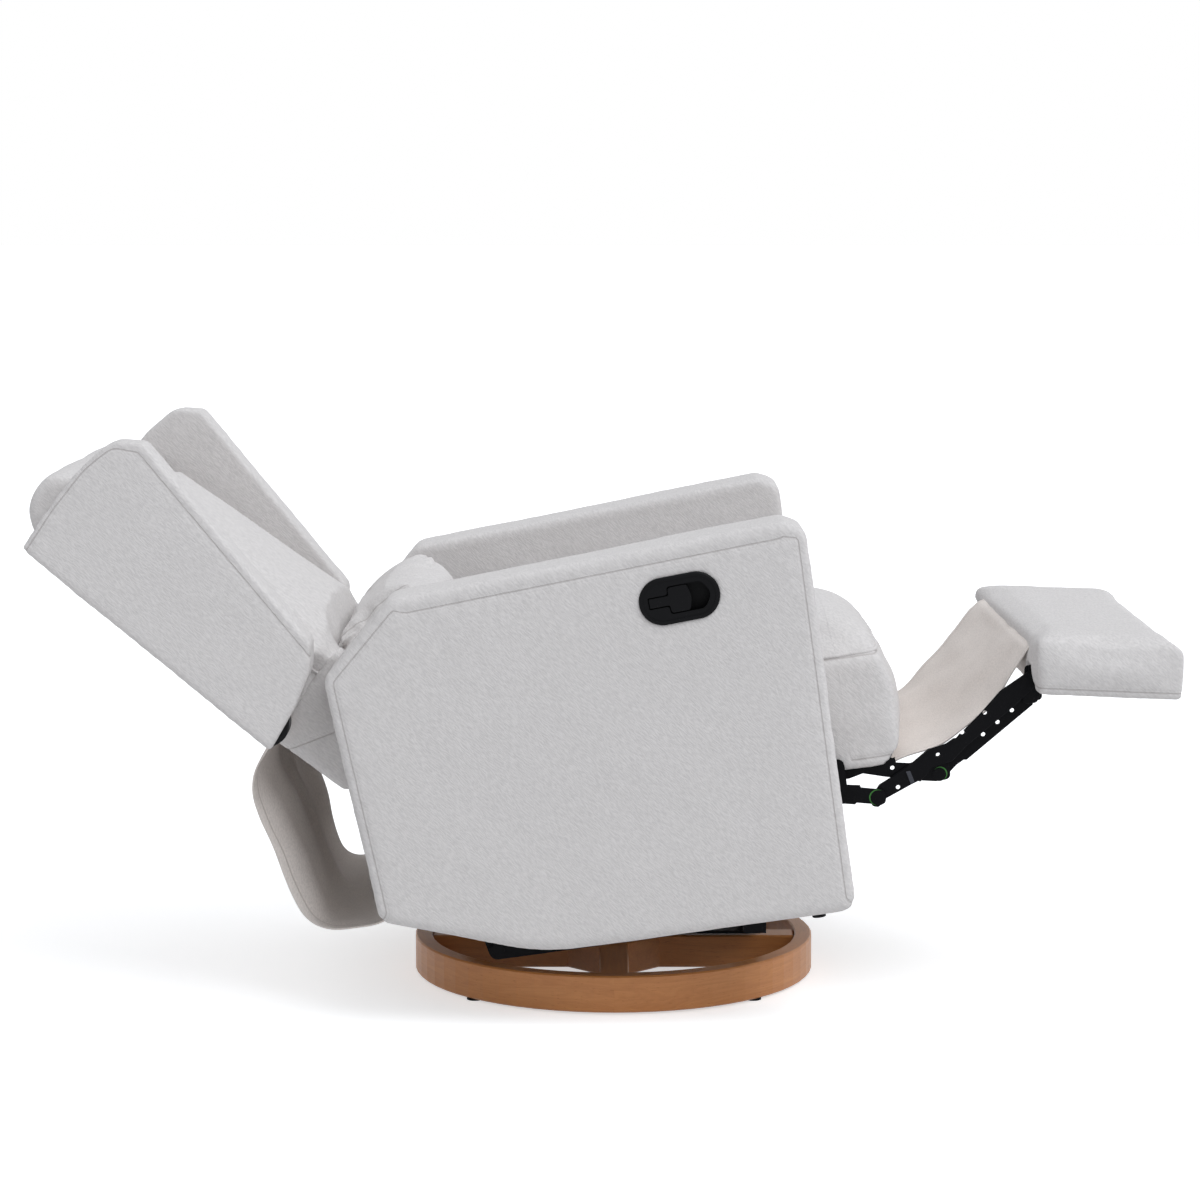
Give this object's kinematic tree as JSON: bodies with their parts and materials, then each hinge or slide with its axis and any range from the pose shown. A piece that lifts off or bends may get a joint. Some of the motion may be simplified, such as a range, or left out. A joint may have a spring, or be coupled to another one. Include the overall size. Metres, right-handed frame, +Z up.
{
  "type": "glider recliner",
  "caption": "Upholstered swivel glider recliner on a wooden ring base, with a reclining back and a folding footrest.",
  "frame": {"origin": "on the floor under the swivel's vertical axis", "axes": "+Z up, the chair faces -Y, the sitter's left is +X"},
  "size_m": [0.7563, 1.5413, 0.7731],
  "materials": {
    "upholstery": "woven polyester, soft twill strokes",
    "lining": "plain woven cloth",
    "birch": "satin lacquered birch",
    "plywood": "raw plywood",
    "black_steel": "black enamelled stamped steel",
    "zinc": "zinc plated",
    "black_plastic": "moulded, fine grain"
  },
  "bodies": {
    "base": {"base_ring": "birch", "base_cross": "birch", "base_pad_1": "black_plastic", "base_pad_2": "black_plastic", "base_pad_3": "black_plastic", "base_pad_4": "black_plastic", "base_pad_5": "black_plastic", "swivel_lower_plate": "black_steel", "swivel_ball_race": "zinc", "king_pin": "zinc"},
    "swivel": {"swivel_upper_plate": "black_steel", "glide_stand_front": "black_steel", "glide_stand_rear": "black_steel"},
    "glide_front_links": {"glide_link_front_right": "black_steel", "glide_link_front_left": "black_steel"},
    "glide_rear_links": {"glide_link_rear_right": "black_steel", "glide_link_rear_left": "black_steel"},
    "seat": {"carriage_rail_right": "black_steel", "carriage_rail_left": "black_steel", "carriage_tube": "black_steel", "arm_cover_right": "upholstery", "arm_cover_left": "upholstery", "arm_frame_right": "plywood", "arm_frame_left": "plywood", "arm_foot_right": "black_plastic", "arm_foot_left": "black_plastic", "side_plate_right": "black_steel", "side_plate_left": "black_steel", "mechanism_cross_tube": "black_steel", "seat_rail_front": "plywood", "seat_rail_rear": "plywood", "seat_deck": "lining", "seat_cushion": "upholstery", "handle_bezel": "black_plastic", "release_cable": "black_plastic", "rear_flap": "lining", "front_flap": "lining"},
    "back": {"wing_right": "upholstery", "wing_left": "upholstery", "back_panel": "upholstery", "back_frame": "plywood", "back_cushion": "upholstery", "head_roll": "upholstery", "lumbar_pillow": "upholstery", "back_lower": "upholstery", "back_bracket_right": "black_steel", "back_bracket_left": "black_steel"},
    "lever": {"handle_lever": "black_plastic"},
    "drive_links": {"drive_link_right": "black_steel", "drive_link_left": "black_steel"},
    "crank_links": {"crank_link_right": "black_steel", "crank_link_left": "black_steel"},
    "long_links": {"long_link_right": "black_steel", "long_link_left": "black_steel"},
    "front_links": {"front_link_right": "black_steel", "front_link_left": "black_steel"},
    "footrest": {"footrest_bracket_right": "black_steel", "footrest_bracket_left": "black_steel", "footrest_board": "plywood", "footrest_pad": "upholstery"}
  },
  "joints": [
    {"name": "swivel", "type": "hinge", "parent": "base", "child": "swivel", "pos_m": [0, 0, 0], "axis": [0, 0, 1], "continuous": true},
    {"name": "glide", "type": "hinge", "parent": "swivel", "child": "glide_front_links", "pos_m": [0, -0.19, 0.165], "axis": [-1, 0, 0], "range_deg": [0, 24]},
    {"name": "glide_pitch", "type": "hinge", "parent": "glide_front_links", "child": "seat", "pos_m": [0, -0.11019, 0.11338], "axis": [-1, 0, 0], "range_deg": [-33, 0]},
    {"name": "glide_rear", "type": "hinge", "parent": "swivel", "child": "glide_rear_links", "pos_m": [0, 0.19, 0.165], "axis": [-1, 0, 0], "range_deg": [0, 17]},
    {"name": "recline", "type": "hinge", "parent": "seat", "child": "back", "pos_m": [0, 0.18643, 0.33433], "axis": [1, 0, 0], "range_deg": [0, 25.5], "deforming": ["rear_flap"]},
    {"name": "handle_pull", "type": "hinge", "parent": "seat", "child": "lever", "pos_m": [-0.378, -0.04958, 0.56666], "axis": [0, -0.1908, -0.9816], "range_deg": [0, 25], "stiffness_Nm_per_rad": 0.4},
    {"name": "footrest", "type": "hinge", "parent": "seat", "child": "drive_links", "pos_m": [0, -0.28985, 0.3225], "axis": [1, 0, 0], "range_deg": [0, 143.5], "deforming": ["front_flap"]},
    {"name": "crank_turn", "type": "hinge", "parent": "seat", "child": "crank_links", "pos_m": [0, -0.19951, 0.29204], "axis": [1, 0, 0], "range_deg": [0, 134]},
    {"name": "long_link_turn", "type": "hinge", "parent": "drive_links", "child": "long_links", "pos_m": [0, -0.43006, 0.34524], "axis": [1, 0, 0], "range_deg": [-143, 0]},
    {"name": "front_link_turn", "type": "hinge", "parent": "drive_links", "child": "front_links", "pos_m": [0, -0.43722, 0.32302], "axis": [1, 0, 0], "range_deg": [-139, 0]},
    {"name": "footrest_turn", "type": "hinge", "parent": "long_links", "child": "footrest", "pos_m": [0, -0.55377, 0.45654], "axis": [1, 0, 0], "range_deg": [0, 72]}
  ],
  "couplings": [
    {"joint": "glide_pitch", "follows": "glide", "ratio": -1.3678},
    {"joint": "glide_rear", "follows": "glide", "ratio": 0.6966},
    {"joint": "crank_turn", "follows": "footrest", "ratio": 0.8817},
    {"joint": "long_link_turn", "follows": "footrest", "ratio": -0.9425},
    {"joint": "front_link_turn", "follows": "footrest", "ratio": -0.915},
    {"joint": "footrest_turn", "follows": "footrest", "ratio": 0.4716}
  ]
}
